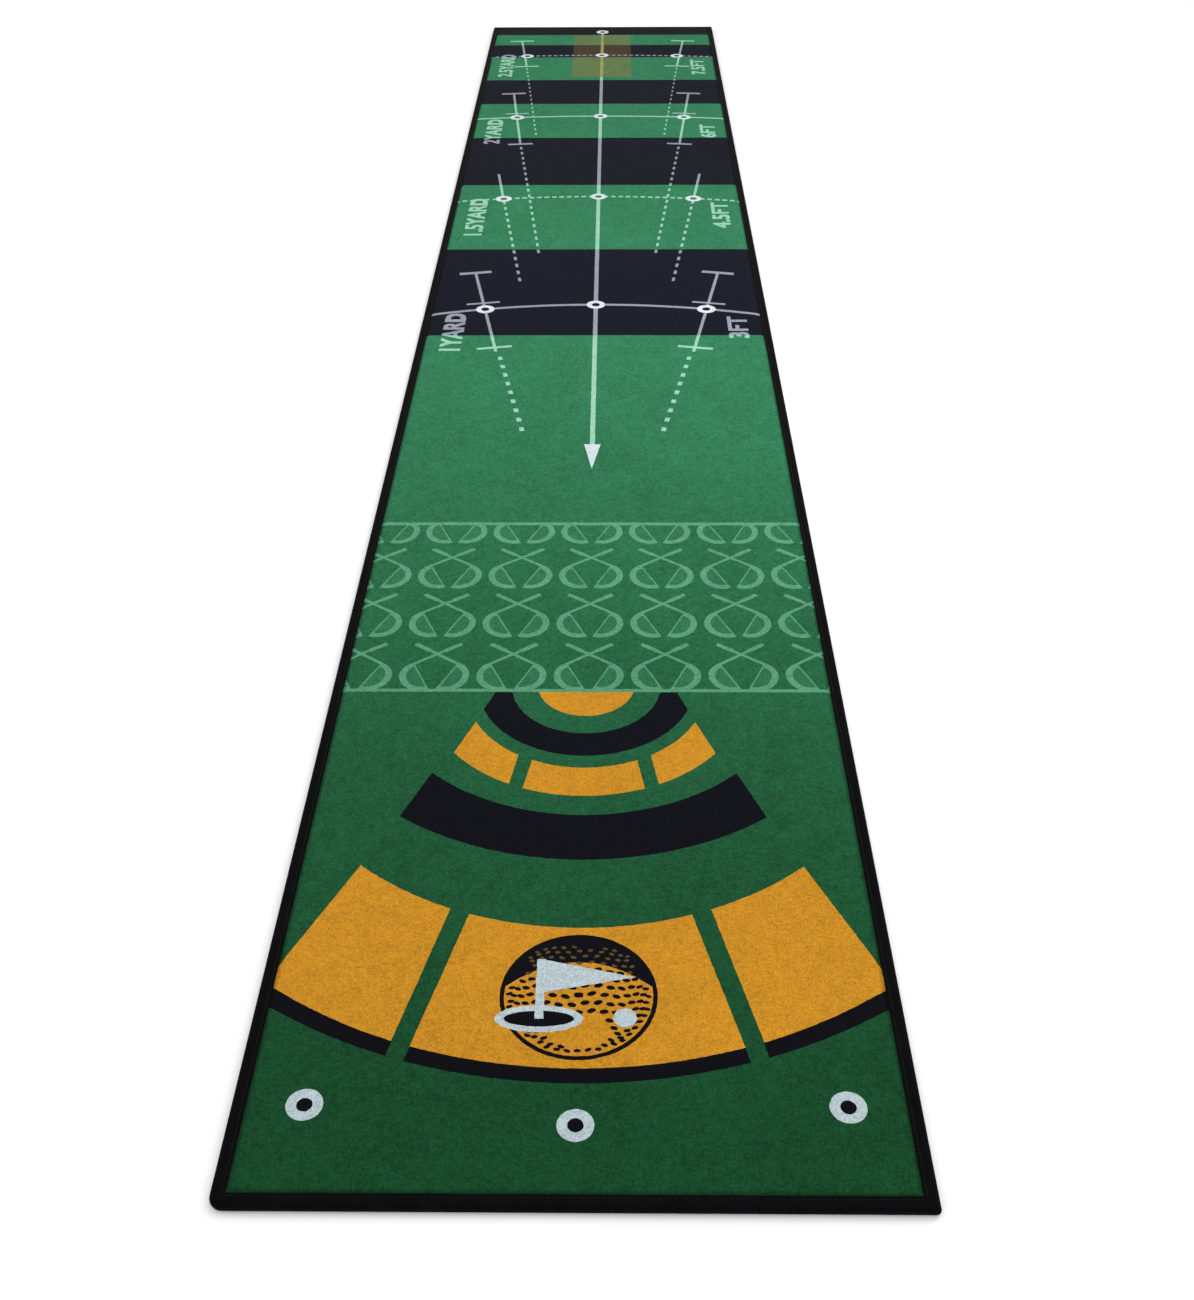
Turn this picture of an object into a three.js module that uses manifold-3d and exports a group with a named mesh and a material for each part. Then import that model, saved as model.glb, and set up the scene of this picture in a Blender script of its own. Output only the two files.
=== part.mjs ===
// Practice putting mat: a long printed pile runner on a rubber back, its edge bound
// with folded tape that is sewn on. Millimetres, +Z up. The mat lies flat on the floor
// plane, with its origin under its middle. The end that balls are struck from is at -Y.
import * as THREE from 'three';
import { mergeVertices } from 'three/addons/utils/BufferGeometryUtils.js';
import Module from 'manifold-3d';

const wasm = await Module();
wasm.setup();

// Driving dimensions.
const MAT_WIDTH = 500;
const MAT_LENGTH = 3000;
const MAT_HEIGHT = 8;
const TAPE_FLAP = 11; // how far the folded tape laps over each face
const TAPE_THICK = 0.9;
const TAPE_DIP = 0.8; // how far the pile stands above the tape
const TAPE_ROUND = 2.2; // roll of the tape over the mat's edge
const EASED_CORNER = 10; // the near left corner, where the tape turns in a curve
const SQUARE_CORNER = 3; // the other three corners
const RUBBER_THICK = 2.4;
const LATEX_THICK = 0.6;
const SCRIM_THICK = 0.6;
const LAYER_GAP = 0.1; // glue line between the bonded layers
const FIT_GAP = 0.3; // clearance between the mat's edge and the tape round it
const SEAM_INSET = 2.6; // seam line, in from the tape's free edge
const NEEDLE_THREAD = 0.6;
const BOBBIN_THREAD = 0.46;
const BOBBIN_GROOVE = 0.6; // the channel that the lower thread pulls into the tape
const THREAD_SIDES = 8;
const ROUND_STEPS = 3;
const CORNER_STEPS = 8;

// Heights that follow from them.
const TAPE_TOP = MAT_HEIGHT - TAPE_DIP;
const LATEX_FLOOR = RUBBER_THICK + LAYER_GAP;
const SCRIM_FLOOR = LATEX_FLOOR + LATEX_THICK + LAYER_GAP;
const PILE_FLOOR = SCRIM_FLOOR + SCRIM_THICK + LAYER_GAP;
const MARGIN_TOP = TAPE_TOP - TAPE_THICK - FIT_GAP; // pile pressed down under the tape
const MARGIN_FLOOR = TAPE_THICK + FIT_GAP; // rubber lifted over the tape's lower flap
const EDGE_INSET = TAPE_ROUND; // the mat's own cut edge, inside the roll of the tape
const WINDOW_INSET = TAPE_FLAP + FIT_GAP; // the open face between the tapes

// The plan of the mat drawn in by an inset, with each corner eased to suit.
function plan(inset) {
  const x = MAT_WIDTH / 2 - inset;
  const y = MAT_LENGTH / 2 - inset;
  const eased = Math.max(EASED_CORNER - inset, 0.5);
  const square = Math.max(SQUARE_CORNER - inset, 0.5);
  const shape = new THREE.Shape();
  shape.moveTo(-x + eased, -y);
  shape.lineTo(x - square, -y);
  shape.absarc(x - square, -y + square, square, -Math.PI / 2, 0, false);
  shape.lineTo(x, y - square);
  shape.absarc(x - square, y - square, square, 0, Math.PI / 2, false);
  shape.lineTo(-x + square, y);
  shape.absarc(-x + square, y - square, square, Math.PI / 2, Math.PI, false);
  shape.lineTo(-x, -y + eased);
  shape.absarc(-x + eased, -y + eased, eased, Math.PI, Math.PI * 1.5, false);
  return shape;
}

// A slab of that plan between two heights.
function slab(inset, floor, top) {
  const geometry = new THREE.ExtrudeGeometry(plan(inset), {
    depth: top - floor,
    bevelEnabled: false,
    curveSegments: CORNER_STEPS,
  });
  return geometry.translate(0, 0, floor);
}

// The same slab with its upper and lower edges rolled over by a radius.
function rolledSlab(inset, floor, top, radius) {
  const geometry = new THREE.ExtrudeGeometry(plan(inset + radius), {
    depth: top - floor - 2 * radius,
    bevelThickness: radius,
    bevelSize: radius,
    bevelSegments: ROUND_STEPS,
    curveSegments: CORNER_STEPS,
  });
  return geometry.translate(0, 0, floor + radius);
}

function block(x0, x1, y0, y1, z0, z1) {
  const geometry = new THREE.BoxGeometry(x1 - x0, y1 - y0, z1 - z0);
  return geometry.translate((x0 + x1) / 2, (y0 + y1) / 2, (z0 + z1) / 2);
}

// Booleans: a geometry becomes a solid, and a solid becomes a geometry again.
function solid(geometry) {
  const bare = geometry.clone();
  bare.deleteAttribute('normal');
  bare.deleteAttribute('uv');
  const merged = mergeVertices(bare, 1e-4);
  return new wasm.Manifold(
    new wasm.Mesh({
      numProp: 3,
      vertProperties: new Float32Array(merged.attributes.position.array),
      triVerts: new Uint32Array(merged.index.array),
    }),
  );
}

function geometryOf(body) {
  const mesh = body.getMesh();
  const geometry = new THREE.BufferGeometry();
  geometry.setAttribute('position', new THREE.BufferAttribute(mesh.vertProperties, 3));
  geometry.setIndex(new THREE.BufferAttribute(mesh.triVerts, 1));
  const faceted = geometry.toNonIndexed();
  faceted.computeVertexNormals();
  return faceted;
}

const pileDye = new THREE.MeshStandardMaterial({ color: 0x2d7d4e, roughness: 0.95 });
const scrimWeave = new THREE.MeshStandardMaterial({ color: 0x8d9187, roughness: 0.9 });
const latex = new THREE.MeshStandardMaterial({ color: 0xc9c3ad, roughness: 0.7 });
const rubber = new THREE.MeshStandardMaterial({ color: 0x17181a, roughness: 0.8 });
const tape = new THREE.MeshStandardMaterial({ color: 0x16171a, roughness: 0.75 });
const thread = new THREE.MeshStandardMaterial({ color: 0x101012, roughness: 0.6 });

const mat = new THREE.Group();

function addPiece(name, geometry, material) {
  const piece = new THREE.Mesh(geometry, material);
  piece.name = name;
  mat.add(piece);
}

// Bonded layers, from the floor up. Rubber and pile are each pinched in a margin all
// round, where the tape folds over them; the two thin layers between run to the edge.
const rubberMargin = solid(slab(EDGE_INSET, MARGIN_FLOOR, RUBBER_THICK));
const rubberFace = solid(slab(WINDOW_INSET, 0, RUBBER_THICK));
addPiece('rubber_backing', geometryOf(rubberMargin.add(rubberFace)), rubber);

addPiece('latex_coat', slab(EDGE_INSET, LATEX_FLOOR, LATEX_FLOOR + LATEX_THICK), latex);

addPiece('backing_cloth', slab(EDGE_INSET, SCRIM_FLOOR, SCRIM_FLOOR + SCRIM_THICK), scrimWeave);

const pileMargin = solid(slab(EDGE_INSET, PILE_FLOOR, MARGIN_TOP));
const pileFace = solid(slab(WINDOW_INSET, PILE_FLOOR, MAT_HEIGHT));
addPiece('pile_face', geometryOf(pileMargin.add(pileFace)), pileDye);

// Binding: a ring of folded tape, which is cut into the four strips that are sewn on.
const seamX = MAT_WIDTH / 2 - TAPE_FLAP + SEAM_INSET;
const seamY = MAT_LENGTH / 2 - TAPE_FLAP + SEAM_INSET;
const endX = MAT_WIDTH / 2 - TAPE_FLAP - FIT_GAP;
const endY = MAT_LENGTH / 2 - TAPE_FLAP - FIT_GAP;
const grooveHalf = BOBBIN_THREAD / 2 + FIT_GAP;

const outside = solid(rolledSlab(0, 0, TAPE_TOP, TAPE_ROUND));
const inside = solid(
  rolledSlab(TAPE_THICK, TAPE_THICK, TAPE_TOP - TAPE_THICK, TAPE_ROUND - TAPE_THICK),
);
const openFace = solid(slab(TAPE_FLAP, -1, MAT_HEIGHT));
const foldedRing = outside.subtract(inside).subtract(openFace);

// One strip is the part of the ring inside a box, less the lower thread's groove.
function strip(x0, x1, y0, y1, groove) {
  const part = foldedRing.intersect(solid(block(x0, x1, y0, y1, -1, MAT_HEIGHT)));
  return geometryOf(part.subtract(solid(groove)));
}

function grooveAlongX(y) {
  const end = MAT_WIDTH / 2 + 1;
  return block(-end, end, y - grooveHalf, y + grooveHalf, -1, BOBBIN_GROOVE);
}

function grooveAlongY(x) {
  const end = MAT_LENGTH / 2 + 1;
  return block(x - grooveHalf, x + grooveHalf, -end, end, -1, BOBBIN_GROOVE);
}

const wide = MAT_WIDTH / 2 + 1;
const long = MAT_LENGTH / 2 + 1;
const lapX = endX + FIT_GAP;
const lapY = endY + FIT_GAP;
addPiece('binding_left', strip(-wide, -lapX, -endY, endY, grooveAlongY(-seamX)), tape);
addPiece('binding_right', strip(lapX, wide, -endY, endY, grooveAlongY(seamX)), tape);
addPiece('binding_near', strip(-wide, wide, -long, -lapY, grooveAlongX(-seamY)), tape);
addPiece('binding_far', strip(-wide, wide, lapY, long, grooveAlongX(seamY)), tape);

// Sewing threads: the needle thread lies on the tape and the bobbin thread in a groove
// under it, both running straight along the seam of their strip.
function threadRun(from, to, diameter) {
  const run = new THREE.Vector3().subVectors(to, from);
  const geometry = new THREE.CylinderGeometry(
    diameter / 2,
    diameter / 2,
    run.length(),
    THREAD_SIDES,
  );
  const turn = new THREE.Quaternion().setFromUnitVectors(
    new THREE.Vector3(0, 1, 0),
    run.clone().normalize(),
  );
  geometry.applyQuaternion(turn);
  const middle = from.clone().add(to).multiplyScalar(0.5);
  return geometry.translate(middle.x, middle.y, middle.z);
}

const needleZ = TAPE_TOP + LAYER_GAP + NEEDLE_THREAD / 2;
const bobbinZ = BOBBIN_GROOVE / 2;
const seamEndY = endY - FIT_GAP;
const seamEndX = MAT_WIDTH / 2 - EASED_CORNER;

const seams = {
  left: [-seamX, -seamEndY, -seamX, seamEndY],
  right: [seamX, -seamEndY, seamX, seamEndY],
  near: [-seamEndX, -seamY, seamEndX, -seamY],
  far: [-seamEndX, seamY, seamEndX, seamY],
};

for (const [side, [x0, y0, x1, y1]] of Object.entries(seams)) {
  const needle = [new THREE.Vector3(x0, y0, needleZ), new THREE.Vector3(x1, y1, needleZ)];
  const bobbin = [new THREE.Vector3(x0, y0, bobbinZ), new THREE.Vector3(x1, y1, bobbinZ)];
  addPiece(`needle_thread_${side}`, threadRun(...needle, NEEDLE_THREAD), thread);
  addPiece(`bobbin_thread_${side}`, threadRun(...bobbin, BOBBIN_THREAD), thread);
}

export default mat;
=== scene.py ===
"""Looks for a practice putting mat: a printed cut pile runner on a rubber back, its edge
bound with folded tape. Metres, +Z up, the mat flat on the floor with its ball end at -Y."""
import math

import bmesh
import bpy
from mathutils import Matrix, Vector, noise
from mathutils.geometry import delaunay_2d_cdt


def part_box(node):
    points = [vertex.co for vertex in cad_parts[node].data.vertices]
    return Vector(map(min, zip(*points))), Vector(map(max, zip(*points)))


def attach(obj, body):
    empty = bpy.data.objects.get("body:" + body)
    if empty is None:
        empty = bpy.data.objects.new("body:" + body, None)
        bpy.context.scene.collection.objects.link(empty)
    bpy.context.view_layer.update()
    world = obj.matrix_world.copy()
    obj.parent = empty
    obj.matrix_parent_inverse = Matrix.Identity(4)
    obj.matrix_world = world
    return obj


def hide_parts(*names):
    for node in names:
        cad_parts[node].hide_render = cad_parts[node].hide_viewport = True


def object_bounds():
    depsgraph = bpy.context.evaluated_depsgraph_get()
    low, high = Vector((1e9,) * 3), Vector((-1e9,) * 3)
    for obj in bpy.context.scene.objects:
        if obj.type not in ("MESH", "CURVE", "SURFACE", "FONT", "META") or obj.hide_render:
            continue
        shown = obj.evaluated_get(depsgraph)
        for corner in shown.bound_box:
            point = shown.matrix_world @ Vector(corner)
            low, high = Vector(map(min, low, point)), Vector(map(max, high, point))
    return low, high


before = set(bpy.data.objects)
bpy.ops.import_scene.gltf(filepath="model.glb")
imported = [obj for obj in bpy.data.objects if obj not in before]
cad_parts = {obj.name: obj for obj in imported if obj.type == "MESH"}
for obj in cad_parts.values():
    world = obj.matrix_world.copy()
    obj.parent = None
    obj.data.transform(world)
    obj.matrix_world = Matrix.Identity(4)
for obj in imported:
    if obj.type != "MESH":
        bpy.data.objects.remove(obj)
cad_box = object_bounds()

MM = 0.001

# ---------------------------------------------------------------------------
# Places that come from the frame
# ---------------------------------------------------------------------------
mat_high = Vector(cad_box[1])
HALF_WIDTH = mat_high.x
HALF_LENGTH = mat_high.y
CROWN = mat_high.z
tape_low, tape_high = (Vector(corner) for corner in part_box("binding_left"))
FLAP = tape_high.x - tape_low.x
WINDOW_X = HALF_WIDTH - FLAP
WINDOW_Y = HALF_LENGTH - FLAP
pile_low, pile_high = (Vector(corner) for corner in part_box("pile_face"))
PILE_FLOOR = pile_low.z
CUT_INSET = HALF_WIDTH - pile_high.x
seam_low, seam_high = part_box("needle_thread_right")
SEAM_INSET = HALF_WIDTH - (seam_low[0] + seam_high[0]) / 2

EASED_CORNER = 10 * MM  # the near left corner
SQUARE_CORNER = 3 * MM  # the other three
LEAST_CORNER = 0.4 * MM


# ---------------------------------------------------------------------------
# Materials
# ---------------------------------------------------------------------------
def linear(red, green, blue):
    """A colour given as it looks on screen, 0 to 255, as the shader's linear colour."""
    channels = []
    for level in (red, green, blue):
        if level < 10:
            channels.append(level / 255 / 12.92)
        else:
            channels.append(((level / 255 + 0.055) / 1.055) ** 2.4)
    return tuple(channels) + (1,)


def shade(colour, factor):
    """The same colour darker or lighter."""
    return tuple(c * factor for c in colour[:3]) + (1,)


class Finish:
    """A node material with short calls for the nodes that the finishes share."""

    def __init__(self, name, roughness, sheen=0.0, specular=0.3):
        self.material = bpy.data.materials.new(name)
        self.material.use_nodes = True
        self.nodes = self.material.node_tree.nodes
        self.links = self.material.node_tree.links
        self.shader = self.nodes["Principled BSDF"]
        self.shader.inputs["Roughness"].default_value = roughness
        self.shader.inputs["Sheen Weight"].default_value = sheen
        self.shader.inputs["Sheen Roughness"].default_value = 0.4
        self.shader.inputs["Specular IOR Level"].default_value = specular
        self.place = self.nodes.new("ShaderNodeTexCoord").outputs["Object"]

    def link(self, source, target):
        self.links.new(source, target)

    def mapped(self, scale=(1, 1, 1), turn=0.0):
        node = self.nodes.new("ShaderNodeMapping")
        node.inputs["Scale"].default_value = scale
        node.inputs["Rotation"].default_value = (0, 0, turn)
        self.link(self.place, node.inputs["Vector"])
        return node.outputs["Vector"]

    def noise(self, size, detail=3.0, stretch=(1, 1, 1)):
        """Cloudy noise whose patches are about size across."""
        node = self.nodes.new("ShaderNodeTexNoise")
        node.inputs["Scale"].default_value = 1 / size
        node.inputs["Detail"].default_value = detail
        self.link(self.mapped(stretch), node.inputs["Vector"])
        return node.outputs["Fac"]

    def cells(self, size, output="Distance"):
        """Tuft-like cells, size across."""
        node = self.nodes.new("ShaderNodeTexVoronoi")
        node.inputs["Scale"].default_value = 1 / size
        self.link(self.mapped(), node.inputs["Vector"])
        return node.outputs[output]

    def ribs(self, pitch, direction="X", turn=0.0, wander=0.0):
        """Even ribs across one direction, one every pitch."""
        node = self.nodes.new("ShaderNodeTexWave")
        node.bands_direction = direction
        node.inputs["Scale"].default_value = math.tau / 20 / pitch
        node.inputs["Distortion"].default_value = wander
        node.inputs["Detail Scale"].default_value = 1.0
        self.link(self.mapped(turn=turn), node.inputs["Vector"])
        return node.outputs["Fac"]

    def math(self, operation, first, second):
        node = self.nodes.new("ShaderNodeMath")
        node.operation = operation
        for socket, value in zip(node.inputs, (first, second)):
            if isinstance(value, (int, float)):
                socket.default_value = value
            else:
                self.link(value, socket)
        return node.outputs[0]

    def blend(self, parts):
        """A weighted sum of (texture, weight) pairs, centred on a half."""
        total = 0.5
        for texture, weight in parts:
            swing = self.math("MULTIPLY", self.math("SUBTRACT", texture, 0.5), weight)
            total = self.math("ADD", swing, total)
        return total

    def between(self, factor, dark, light):
        node = self.nodes.new("ShaderNodeMix")
        node.data_type = "RGBA"
        self.link(factor, node.inputs["Factor"])
        for name, value in (("A", dark), ("B", light)):
            socket = next(i for i in node.inputs if i.name == name and i.type == "RGBA")
            if isinstance(value, tuple):
                socket.default_value = value
            else:
                self.link(value, socket)
        return next(o for o in node.outputs if o.type == "RGBA")

    def colour(self, source):
        self.link(source, self.shader.inputs["Base Color"])

    def ramp(self, value, low, high):
        """Nothing below low, one above high, and a soft rise between."""
        node = self.nodes.new("ShaderNodeMapRange")
        node.interpolation_type = "SMOOTHSTEP"
        self.link(value, node.inputs["Value"])
        node.inputs["From Min"].default_value = low
        node.inputs["From Max"].default_value = high
        return node.outputs["Result"]

    def rough(self, factor, low, high):
        node = self.nodes.new("ShaderNodeMapRange")
        self.link(factor, node.inputs["Value"])
        node.inputs["To Min"].default_value = low
        node.inputs["To Max"].default_value = high
        self.link(node.outputs["Result"], self.shader.inputs["Roughness"])

    def relief(self, height, depth, strength=1.0):
        node = self.nodes.new("ShaderNodeBump")
        node.inputs["Distance"].default_value = depth
        node.inputs["Strength"].default_value = strength
        self.link(height, node.inputs["Height"])
        self.link(node.outputs["Normal"], self.shader.inputs["Normal"])


PAINTED_SHEEN_SPAN = (-100, 1500)  # millimetres from the ball end over which painted sheen lifts the pile's tone
TUFT = 1.8 * MM
FIBRE = 0.7 * MM
GAUGE = 3.2 * MM  # between one row of tufts and the next
TAPE_SHADE_REACH = 4.5 * MM  # how far in from the tape painted shade darkens the pile


def pile_finish(name, near, far, contrast=1.0):
    """Short cut nylon pile dyed one colour: tufts in rows, painted shade darkening the gaps
    between tufts, and the soft patches that come from pile leaning different ways. Painted
    sheen lifts the colour from its near tone at the ball end to a lighter far tone past the
    middle of the mat, and painted shade darkens the pile next to the tape."""
    finish = Finish(name, roughness=0.92, sheen=0.015, specular=0.04)
    split = finish.nodes.new("ShaderNodeSeparateXYZ")
    finish.link(finish.place, split.inputs["Vector"])
    # Painted sheen: the pile's colour grows lighter from the ball end towards the far end.
    painted_sheen_fade = finish.ramp(split.outputs["Y"], PAINTED_SHEEN_SPAN[0] * MM - HALF_LENGTH, PAINTED_SHEEN_SPAN[1] * MM - HALF_LENGTH)
    # Painted shade: the pile's colour is darkened in a band along the tape.
    beside = finish.math("SUBTRACT", WINDOW_X, finish.math("ABSOLUTE", split.outputs["X"], 0))
    beyond = finish.math("SUBTRACT", WINDOW_Y, finish.math("ABSOLUTE", split.outputs["Y"], 0))
    clear_of_tape_shade = finish.ramp(finish.math("MINIMUM", beside, beyond), -1 * MM, TAPE_SHADE_REACH)
    tuft = finish.cells(TUFT)
    tint = finish.cells(TUFT, "Color")
    separate = finish.nodes.new("ShaderNodeSeparateColor")
    finish.link(tint, separate.inputs["Color"])
    own_tone = separate.outputs["Red"]
    rows = finish.ribs(GAUGE, "X", wander=0.6)
    fibre = finish.noise(FIBRE, 2.0)
    speckle = finish.noise(5 * MM, 4.0)
    mottle = finish.noise(16 * MM, 3.0)
    lean = finish.noise(110 * MM, 2.0, (1.0, 0.6, 1.0))
    tone = finish.blend(
        (
            (fibre, 0.6 * contrast),
            (own_tone, 0.4 * contrast),
            (speckle, 0.65 * contrast),
            (mottle, 0.42 * contrast),
            (lean, 0.3 * contrast),
            (rows, 0.06 * contrast),
        )
    )
    lifted = finish.math("ADD", tone, 0.07)
    # Painted shade: the colour is darker in the gaps between the tuft cells.
    tuft_gap_shade = finish.math("SUBTRACT", lifted, finish.math("MULTIPLY", tuft, 0.45))
    dark = finish.between(painted_sheen_fade, shade(near, 0.6), shade(far, 0.6))
    light = finish.between(painted_sheen_fade, shade(near, 1.45), shade(far, 1.45))
    flat = finish.between(tuft_gap_shade, dark, light)
    # The painted shade by the tape: the same tones, made darker.
    painted_tape_shade = finish.between(tuft_gap_shade, shade(near, 0.3), shade(near, 0.75))
    finish.colour(finish.between(clear_of_tape_shade, painted_tape_shade, flat))
    finish.rough(mottle, 0.86, 0.98)
    tips = finish.math("ADD", finish.math("MULTIPLY", tuft, -1.2),
                       finish.math("MULTIPLY", speckle, 0.4))
    height = finish.math("ADD", tips, finish.math("MULTIPLY", fibre, 0.9))
    finish.relief(height, 0.6 * MM, 0.7)
    return finish.material


def tape_finish():
    """Black polyester binding tape: fine ribs across it, dulled in soft patches of wear."""
    finish = Finish("Binding tape", roughness=0.8, sheen=0.0, specular=0.03)
    across = finish.ribs(0.9 * MM, "X")
    along = finish.ribs(0.9 * MM, "Y")
    weave = finish.math("MULTIPLY", across, along)
    dust = finish.noise(14 * MM, 4.0)
    tone = finish.blend(((weave, 0.5), (dust, 0.9)))
    finish.colour(finish.between(tone, linear(2, 2, 3), linear(16, 16, 18)))
    finish.rough(dust, 0.65, 0.85)
    finish.relief(weave, 0.18 * MM, 0.6)
    return finish.material


def thread_finish():
    """Black sewing thread with a fine twist."""
    finish = Finish("Bonded thread", roughness=0.6, specular=0.15)
    twist = finish.ribs(0.5 * MM, "X", turn=0.9)
    tone = finish.blend(((twist, 0.7), (finish.noise(9 * MM), 0.5)))
    finish.colour(finish.between(tone, linear(8, 8, 9), linear(24, 24, 27)))
    finish.relief(twist, 0.06 * MM)
    return finish.material


def rubber_finish():
    """Matt black rubber with a fine grain and a faint bloom."""
    finish = Finish("Rubber back", roughness=0.8, specular=0.35)
    grain = finish.noise(1.6 * MM, 4.0)
    bloom = finish.noise(90 * MM, 3.0)
    tone = finish.blend(((grain, 0.5), (bloom, 0.9)))
    finish.colour(finish.between(tone, linear(18, 18, 19), linear(46, 46, 48)))
    finish.rough(bloom, 0.65, 0.9)
    finish.relief(grain, 0.15 * MM, 0.7)
    return finish.material


def latex_finish():
    """The dried cream coat that locks the tufts."""
    finish = Finish("Latex coat", roughness=0.6, specular=0.4)
    skin = finish.noise(6 * MM, 5.0)
    finish.colour(finish.between(skin, linear(176, 168, 144), linear(214, 207, 186)))
    finish.relief(skin, 0.2 * MM, 0.6)
    return finish.material


def scrim_finish():
    """Woven slit-film backing cloth."""
    finish = Finish("Woven scrim", roughness=0.7, specular=0.4)
    warp = finish.ribs(1.8 * MM, "X")
    weft = finish.ribs(1.8 * MM, "Y")
    weave = finish.math("MULTIPLY", warp, weft)
    tone = finish.blend(((weave, 0.8), (finish.noise(30 * MM), 0.4)))
    finish.colour(finish.between(tone, linear(118, 122, 114), linear(170, 173, 163)))
    finish.relief(weave, 0.25 * MM, 0.7)
    return finish.material


# ---------------------------------------------------------------------------
# Small makers that every piece uses
# ---------------------------------------------------------------------------
def make_piece(name, shell, material, sharp_angle=math.radians(50)):
    """Turns a finished bmesh into an object that rides on the mat."""
    for face in shell.faces:
        face.smooth = True
    for edge in shell.edges:
        edge.smooth = edge.calc_face_angle(0.0) < sharp_angle
    mesh = bpy.data.meshes.new(name)
    shell.to_mesh(mesh)
    shell.free()
    piece = bpy.data.objects.new(name, mesh)
    bpy.context.scene.collection.objects.link(piece)
    mesh.materials.append(material)
    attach(piece, "root")
    return piece


def copies(pattern, moves):
    """A bmesh holding one copy of the pattern for each move, and frees the pattern."""
    pattern.verts.index_update()
    shape = [vert.co.copy() for vert in pattern.verts]
    sides = [[vert.index for vert in face.verts] for face in pattern.faces]
    pattern.free()
    shell = bmesh.new()
    for move in moves:
        verts = [shell.verts.new(co + move) for co in shape]
        for side in sides:
            shell.faces.new([verts[i] for i in side])
    return shell


def corner_arc(x, y, radius, start, steps):
    """Points of a quarter turn about (x, y), anticlockwise from an angle in quarter turns."""
    angles = (math.pi / 2 * (start + i / steps) for i in range(steps + 1))
    return [(x + radius * math.cos(a), y + radius * math.sin(a)) for a in angles]


def plan(inset, corner_steps=8):
    """The mat's outline drawn in by inset, anticlockwise from the near right corner."""
    x = HALF_WIDTH - inset
    y = HALF_LENGTH - inset
    eased = max(EASED_CORNER - inset, LEAST_CORNER)
    square = max(SQUARE_CORNER - inset, LEAST_CORNER)
    return (
        corner_arc(x - square, -y + square, square, 3, corner_steps)
        + corner_arc(x - square, y - square, square, 0, corner_steps)
        + corner_arc(-x + square, y - square, square, 1, corner_steps)
        + corner_arc(-x + eased, -y + eased, eased, 2, corner_steps)
    )


def lofted(loops):
    """A closed shape through a stack of (outline, height) pairs, from its underside up."""
    shell = bmesh.new()
    rings = [[shell.verts.new((x, y, height)) for x, y in outline] for outline, height in loops]
    for below, above in zip(rings, rings[1:]):
        for i, vert in enumerate(below):
            shell.faces.new((below[i - 1], vert, above[i], above[i - 1]))
    shell.faces.new(rings[0][::-1])
    shell.faces.new(rings[-1])
    bmesh.ops.recalc_face_normals(shell, faces=shell.faces[:])
    return shell


# ---------------------------------------------------------------------------
# The print, in millimetres: x from the centre line, y from the ball end
# ---------------------------------------------------------------------------
NAVY_STRIPES = ((1364, 1678), (1967, 2218), (2424, 2584), (2750, 2846), (2928, 3010))
SIDE = 260  # past the mat's edge, so that a mark runs off under the tape
FAN_CENTRE = 634  # the distance arcs and the side rays fan out from here
ARC_REACH = (1468, 1911, 2347, 2766)  # each distance arc, where it crosses the centre line
ARC_WIDTH = 6.5
LINE_WIDTH = 6.2
RAY_WIDTH = 4.4
RING = 13.6
RING_HOLE = 5.9
SIDE_RING = 161.5
BALL_SPOTS = ((-196.3, 81.5), (0, 65.3), (196.3, 81.5))
ARROW_TIP = 991
ARROW_BASE = 1051
FAR_RING = 2952
TARGET = (-62.5, 2606, 62.5, 2926)
BAND = (561, 866)  # middles of the pattern band's two border lines
CLUB_PITCH = (76.8, 88.3)
CLUB_SPREAD = 12.5
CLUB_LEAN = math.radians(24)
FIRST_CLUBS = 583.3
DASH_PITCH = 12.6  # along a dashed distance arc
DASH = 8
ARC_HALF = 238  # a solid arc's half length
DASHED_HALF = 245  # and a dashed one's

# Each curved edge of the near target is an arc: the y of its centre, then its radius.
RIM_EDGE = (545.0, 444.1)
BAND_LOW = (531.3, 417.1)
BAND_HIGH = (539.8, 287.8)
NAVY_LOW = (604.8, 275.3)
NAVY_HIGH = (586.7, 202.0)
SMALL_LOW = (565.0, 155.5)
SMALL_HIGH = (563.6, 116.1)
CUP_LOW = (569.6, 105.6)
CUP_HIGH = (569.3, 73.1)
DISC = (569.2, 47.3)
CUP_TOP = BAND[0] - 2.3


class Mark:
    """One printed shape: its dye, its outline, and the shape that it is cut off by."""

    def __init__(self, dye, outline, inside=None):
        self.dye = dye
        self.outline = outline
        self.inside = inside


def rectangle(x0, y0, x1, y1):
    return [(x0, y0), (x1, y0), (x1, y1), (x0, y1)]


def placed(outline, x, y, turn=0.0):
    """An outline turned and moved to its place."""
    c = math.cos(turn)
    s = math.sin(turn)
    return [(x + u * c - v * s, y + u * s + v * c) for u, v in outline]


def circle(x, y, radius, points=40, squash=1.0, turn=0.0):
    """A circle, or an ellipse when squashed."""
    angles = (math.tau * i / points for i in range(points))
    outline = [(radius * math.cos(a), radius * squash * math.sin(a)) for a in angles]
    return placed(outline, x, y, turn)


def bar(start, end, width):
    """A straight line of print with square ends."""
    a = Vector(start)
    b = Vector(end)
    side = (b - a).normalized().orthogonal() * width / 2
    return [tuple(p) for p in (a - side, b - side, b + side, a + side)]


def cross_bar(centre, along, length, width):
    """A tick across a ray that runs in the direction along."""
    across = Vector(along).normalized().orthogonal() * length / 2
    middle = Vector(centre)
    return bar(middle - across, middle + across, width)


def arc_edge(arc, x0, x1, step=6.0):
    """Points along the near side of an arc between two places across the mat."""
    centre, radius = arc
    count = max(2, round(abs(x1 - x0) / step))
    xs = (x0 + (x1 - x0) * i / count for i in range(count + 1))
    return [(x, centre - math.sqrt(max(radius * radius - x * x, 0.0))) for x in xs]


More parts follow.
